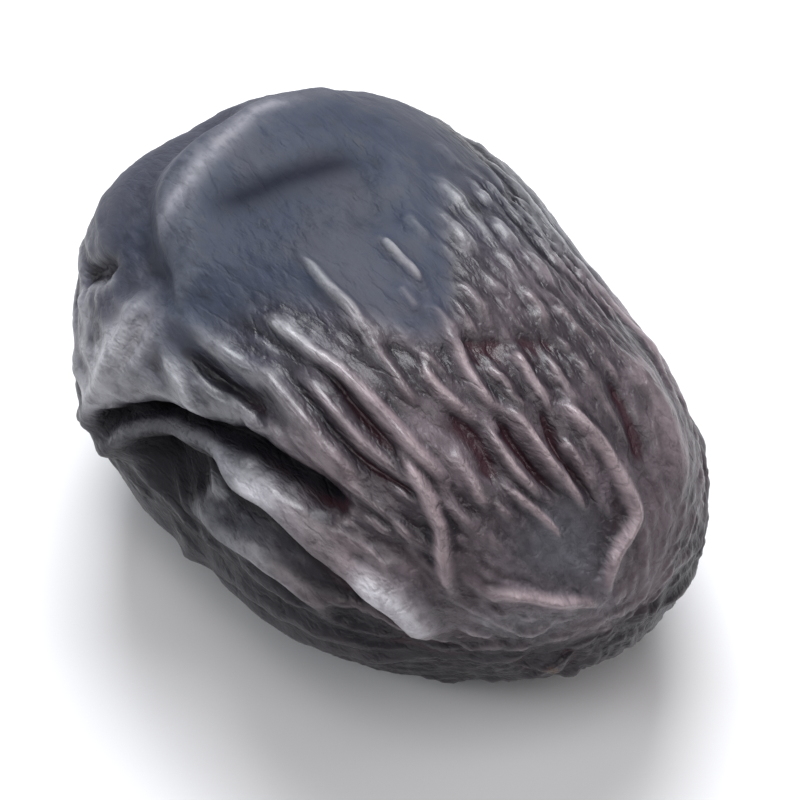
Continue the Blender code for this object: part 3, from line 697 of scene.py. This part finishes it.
fine = attribute("fine_height")
broad = attribute("broad_height")
deep = attribute("deep_height")
on_crown = attribute("crown")
on_facet = attribute("facet")
underneath = attribute("under")
tipward = attribute("tipward")
streak = attribute("streak")
crease_shade = attribute("crease_shade")
off_crown = combined("SUBTRACT", 1.0, on_crown)
patches = noise(grain=0.004, detail=2.0)
dust = noise(grain=0.0005, stretch=(1.6, 1, 1), detail=4.0, rough=0.6)
speckle = combined("MULTIPLY", combined("SUBTRACT", dust, 0.5), 0.5)


# Crests, valleys and bloom
# Crests and sharp ridges are rubbed pale, which also stands for a painted highlight. Bloom is a thin wax that
# lies in drifts, thickest on the crown and the facet. It is thinned in cracks, hollows, deep folds and on the
# underside, which is painted shade there. Ranges of height are in mm above the skin round a point, from where
# a thing starts to where it is full.
FINE_CREST, FINE_CREST_SHARE = (0.01, 0.17), 0.45
BROAD_CREST, BROAD_CREST_SHARE = (0.16, 0.42), 0.42
CREST_ON_CROWN = 0.3
SHARP_RIDGE = (0.12, 0.45)
RIDGE_ON_CROWN = 0.7
VALLEY, NO_VALLEY_FROM = (0.05, -0.16), 0.6
CRACK_SHADE, CRACK_SHADE_SHARE = (-0.015, -0.10), 0.8
HOLLOW_SHADE, HOLLOW_SHADE_LEAST = (-0.14, 0.07), 0.08
FOLD_SHADE, FOLD_SHADE_LEAST = (-0.45, 0.0), 0.3
# Painted shade: the share of bloom left on the underside
SHADED_UNDERSIDE_BLOOM = 0.1

# Drifts are noise from 0 to 1, with more added on the crown: thinnest below one value and full above another
MORE_ON_CROWN = 0.25
DRIFTS, THINNEST = (0.34, 0.72), 0.25
SMOOTH_BLOOM = (0.30, 0.60, 0.60, 0.95)

crest = combined("MAXIMUM", ranged(fine, *FINE_CREST, 0.0, FINE_CREST_SHARE),
                 ranged(broad, *BROAD_CREST, 0.0, BROAD_CREST_SHARE))
crest = combined("MULTIPLY", crest, ranged(on_crown, 0, 1, 1.0, CREST_ON_CROWN))
sharp_ridge = combined("MULTIPLY", ranged(attribute("ridge"), *SHARP_RIDGE),
                       ranged(on_crown, 0, 1, 1.0, RIDGE_ON_CROWN))
crest = combined("MAXIMUM", crest, sharp_ridge)
valley = combined("MULTIPLY", ranged(broad, *VALLEY), off_crown, tipward,
                  ranged(on_facet, 0, NO_VALLEY_FROM, 1.0, 0.0))
# Painted shade: the bloom is thinned in cracks, hollows and deep folds, which darkens them
crack_shade = ranged(fine, *CRACK_SHADE, 0.0, CRACK_SHADE_SHARE)
cloud = combined("ADD", patches, speckle)
drifts = combined("ADD", cloud, combined("MULTIPLY", on_crown, MORE_ON_CROWN))
bloom = combined("MULTIPLY", ranged(drifts, *DRIFTS, THINNEST, 1.0),
                 ranged(broad, *HOLLOW_SHADE, HOLLOW_SHADE_LEAST, 1.0),
                 ranged(underneath, 0, 1, 1.0, SHADED_UNDERSIDE_BLOOM),
                 combined("SUBTRACT", 1.0, crack_shade),
                 ranged(deep, *FOLD_SHADE, FOLD_SHADE_LEAST, 1.0))
smooth_skin = combined("MAXIMUM", on_crown, on_facet)
bloom = combined("MAXIMUM", bloom, combined("MULTIPLY", smooth_skin, ranged(dust, *SMOOTH_BLOOM)))


# The skin's colours
# Bare skin is near-black violet brown. Bloom lies slate blue over it and pinker towards the tip, where thin
# skin in the valleys shows reddish brown. Crests are pale, partly rubbed and partly a painted highlight, and
# pale patches on the rims and lips are painted highlights. The creases and a streak across the crown are
# near-black painted shade, and the scar is brown.
BARE = (0.008, 0.007, 0.011)
REDDISH = (0.040, 0.014, 0.020)
RUBBED_SHEEN = (0.31, 0.245, 0.262)
RUBBED_SHEEN_GREY = (0.34, 0.342, 0.365)
PALE_BLOOM_AND_HIGHLIGHT = (0.60, 0.585, 0.63)
BLOOM = (0.046, 0.047, 0.068)
TIP_BLOOM = (0.130, 0.102, 0.117)
FACET_BLOOM = (0.13, 0.128, 0.150)
STREAK_SHADE = (0.006, 0.008, 0.018)
CROWN_BLOOM = (0.028, 0.039, 0.068)
CROWN_GREY = (0.047, 0.052, 0.072)
SCAR = (0.13, 0.075, 0.042)
SCAR_DARK = (0.022, 0.012, 0.010)

# How much of each colour shows at most
REDDISH_SHARE = 0.8
CROWN_SHARE = 0.85
STREAK_SHADE_SHARE = 0.9
# Painted shade: the share of pale crests left on the underside
SHADED_UNDERSIDE_CRESTS = 0.12

# Painted shade: where creases are coloured near-black, as mm below the skin round them and as a share of a
# crease's own mask
DEEP_CREASE_SHADE = (-0.35, -0.95, 0.0, 0.95)
CREASE_SHADE_RANGE = (0.30, 0.62, 0.0, 0.97)

# Noise in the colours, as the range that is read and the shares it stands for
CROWN_CLOUD = (0.38, 0.66)
RUBBED_SHEEN_DUST = (0.30, 0.62, 0.5, 1.0)
BLOOM_AND_HIGHLIGHT_DUST = (0.32, 0.60, 0.55, 1.0)
SCAR_EDGE = (0.3, 0.6)
SCAR_FIBRES = (0.38, 0.62)

colour = mixed(combined("MULTIPLY", valley, REDDISH_SHARE), BARE, REDDISH)
bloom_colour = mixed(tipward, BLOOM, TIP_BLOOM)
bloom_colour = mixed(combined("MULTIPLY", attribute("crown_top"), CROWN_SHARE), bloom_colour,
                     mixed(ranged(cloud, *CROWN_CLOUD), CROWN_BLOOM, CROWN_GREY))
bloom_colour = mixed(on_facet, bloom_colour, FACET_BLOOM)
colour = mixed(bloom, colour, bloom_colour)
# Pale crests: partly rubbed bloom, partly a painted highlight
rubbed_sheen = combined("MULTIPLY", crest, ranged(dust, *RUBBED_SHEEN_DUST),
                  ranged(underneath, 0, 1, 1.0, SHADED_UNDERSIDE_CRESTS))
colour = mixed(rubbed_sheen, colour, mixed(tipward, RUBBED_SHEEN_GREY, RUBBED_SHEEN))
# Painted shade: a near-black streak along the crown's valley
colour = mixed(combined("MULTIPLY", streak, STREAK_SHADE_SHARE), colour, STREAK_SHADE)
# Painted highlights, laid as pale bloom
colour = mixed(combined("MULTIPLY", attribute("bloom_and_highlight"), ranged(dust, *BLOOM_AND_HIGHLIGHT_DUST)), colour, PALE_BLOOM_AND_HIGHLIGHT)
# Painted shade: deep folds and the listed creases are coloured near-black
colour = mixed(ranged(deep, *DEEP_CREASE_SHADE), colour, BARE)
colour = mixed(ranged(combined("ADD", crease_shade, speckle), *CREASE_SHADE_RANGE), colour, BARE)
fibres = noise(grain=0.0002, detail=4.0, rough=0.7)
colour = mixed(ranged(combined("ADD", attribute("scar"), speckle), *SCAR_EDGE), colour,
               mixed(ranged(fibres, *SCAR_FIBRES), SCAR_DARK, SCAR))
wires.new(colour, shader.inputs["Base Color"])


# Roughness and gloss
# Bare skin is satin. Bloom, the crown, the streak across it, the creases and the underside are duller. A thin
# gloss lies over the crests outside the crown, with little of it underneath and none in the creases.
BARE_ROUGHNESS = 0.36
BLOOM_ROUGHER = 0.10
CROWN_ROUGHER = 0.16
STREAK_ROUGHER = 0.25
CREVICE_ROUGHER = 0.4
UNDERNEATH_ROUGHER = 0.1
DUST_ROUGHER = 0.25
SPECULAR = 0.3
GLOSS = (-0.02, 0.10, 0.10, 0.50)
GLOSS_UNDERNEATH = 0.2
NO_GLOSS_FROM = 0.6
GLOSS_ROUGHNESS = 0.24

roughness = combined("ADD", BARE_ROUGHNESS, combined("MULTIPLY", bloom, BLOOM_ROUGHER),
                     combined("MULTIPLY", on_crown, CROWN_ROUGHER),
                     combined("MULTIPLY", streak, STREAK_ROUGHER),
                     combined("MULTIPLY", crease_shade, CREVICE_ROUGHER),
                     combined("MULTIPLY", underneath, UNDERNEATH_ROUGHER),
                     combined("MULTIPLY", combined("SUBTRACT", dust, 0.5), DUST_ROUGHER))
wires.new(roughness, shader.inputs["Roughness"])
shader.inputs["Specular IOR Level"].default_value = SPECULAR
gloss = combined("MULTIPLY", off_crown, ranged(fine, *GLOSS),
                 ranged(underneath, 0, 1, 1.0, GLOSS_UNDERNEATH),
                 ranged(crease_shade, 0, NO_GLOSS_FROM, 1.0, 0.0))
wires.new(gloss, shader.inputs["Coat Weight"])
shader.inputs["Coat Roughness"].default_value = GLOSS_ROUGHNESS


# Crackle
# The finest texture of the skin is too small for the mesh: a crackle of fine grains, and cracks along lines
# where a coarser noise crosses its middle. Both are weaker on the crown. Sizes are in metres.
CRACKLE_GRAIN, CRACKLE_SHARE = 0.00022, 0.45
CRINKLE_GRAIN, CRINKLE_SHARE = 0.0008, 0.28
CRINKLE_HALF_WIDTH = 0.09
CRACKLE_ON_CROWN = 0.45
CRACKLE_HEIGHT = 0.00016
CRACKLE_STRENGTH = 0.8

crackle = noise(CRACKLE_GRAIN, stretch=(2.2, 1, 1), detail=3.0, rough=0.6)
coarser = noise(CRINKLE_GRAIN, stretch=(2.4, 1, 1), detail=3.0, rough=0.5)
from_middle = combined("SUBTRACT", coarser, 0.5)
crinkle = ranged(combined("ABSOLUTE", from_middle, 0.0), 0.0, CRINKLE_HALF_WIDTH)
texture = combined("ADD", combined("MULTIPLY", crackle, CRACKLE_SHARE),
                   combined("MULTIPLY", crinkle, CRINKLE_SHARE))
texture = combined("MULTIPLY", texture, ranged(on_crown, 0, 1, 1.0, CRACKLE_ON_CROWN))
bump = nodes.new("ShaderNodeBump")
bump.inputs["Strength"].default_value = CRACKLE_STRENGTH
bump.inputs["Distance"].default_value = CRACKLE_HEIGHT
wires.new(texture, bump.inputs["Height"])
wires.new(bump.outputs["Normal"], shader.inputs["Normal"])
mesh.materials.append(material)


# The floor
# A plain pale sheet under the date, wide enough to fill the view. It isn't part of the object.
FLOOR_SIDE = 3.0
PAPER = (0.86, 0.86, 0.87, 1)
PAPER_ROUGHNESS = 0.7

bpy.ops.mesh.primitive_plane_add(size=FLOOR_SIDE)
floor = bpy.context.object
floor.name = "floor"
paper = bpy.data.materials.new("pale floor")
paper.use_nodes = True
paper.node_tree.nodes["Principled BSDF"].inputs["Base Color"].default_value = PAPER
paper.node_tree.nodes["Principled BSDF"].inputs["Roughness"].default_value = PAPER_ROUGHNESS
floor.data.materials.append(paper)


# The camera
# It looks down on the date from the tip end, with the date's length running from upper left to lower right.
AZIMUTH = np.radians(53)
ELEVATION = np.radians(52)
LENS = 150
SENSOR = 36
FRAME_WIDTH = 0.0342
AIM_RIGHT = 0.0005
AIM_DOWN = 0.0004
NEAREST_SEEN = 0.005

middle = Vector(((cad_low + cad_high) / 2).tolist())
level = np.cos(ELEVATION)
towards = Vector((np.sin(AZIMUTH) * level, -np.cos(AZIMUTH) * level, np.sin(ELEVATION)))
image_right = Vector((np.cos(AZIMUTH), np.sin(AZIMUTH), 0))
image_up = towards.cross(image_right)
distance = FRAME_WIDTH * LENS / SENSOR
lens = bpy.data.cameras.new("camera")
lens.lens = LENS
lens.sensor_width = SENSOR
lens.clip_start = NEAREST_SEEN
camera = bpy.data.objects.new("camera", lens)
camera.location = middle + AIM_RIGHT * image_right - AIM_DOWN * image_up + towards * distance
camera.rotation_euler = towards.to_track_quat("Z", "Y").to_euler()
bpy.context.scene.collection.objects.link(camera)
bpy.context.scene.camera = camera


# The light
# The main soft light stands high behind the date, so that ridges shine and folds are dark below. Weaker ones
# come from the left, the front, behind and the right, in a dim pale surround.
LIGHT_DISTANCE = 0.30
SURROUND = (0.92, 0.95, 1.0, 1)
SURROUND_STRENGTH = 0.12


def softbox(name, direction, side, power, colour):
    """A square light that faces the date from a direction."""
    light = bpy.data.lights.new(name, "AREA")
    light.size = side
    light.energy = power
    light.color = colour
    holder = bpy.data.objects.new(name, light)
    holder.location = middle + direction.normalized() * LIGHT_DISTANCE
    holder.rotation_euler = direction.to_track_quat("Z", "Y").to_euler()
    bpy.context.scene.collection.objects.link(holder)


overhead = Vector((0, 0, 1))
softbox("overhead", overhead + 1.3 * image_up, side=0.16, power=1.05, colour=(0.95, 0.97, 1.0))
softbox("left", 0.3 * overhead - image_right + 0.5 * towards, side=0.10, power=0.19, colour=(0.93, 0.97, 1.0))
softbox("front", 0.7 * overhead + towards, side=0.18, power=0.36, colour=(1.0, 0.97, 0.97))
softbox("behind", 0.9 * image_up - 0.45 * towards, side=0.22, power=0.08, colour=(0.93, 0.96, 1.0))
softbox("right", 0.6 * overhead + image_right + 0.2 * image_up, side=0.14, power=0.10,
        colour=(1.0, 0.94, 0.93))

world = bpy.data.worlds.new("pale surround")
bpy.context.scene.world = world
world.use_nodes = True
world.node_tree.nodes["Background"].inputs["Color"].default_value = SURROUND
world.node_tree.nodes["Background"].inputs["Strength"].default_value = SURROUND_STRENGTH
bpy.context.scene.view_settings.view_transform = "Standard"
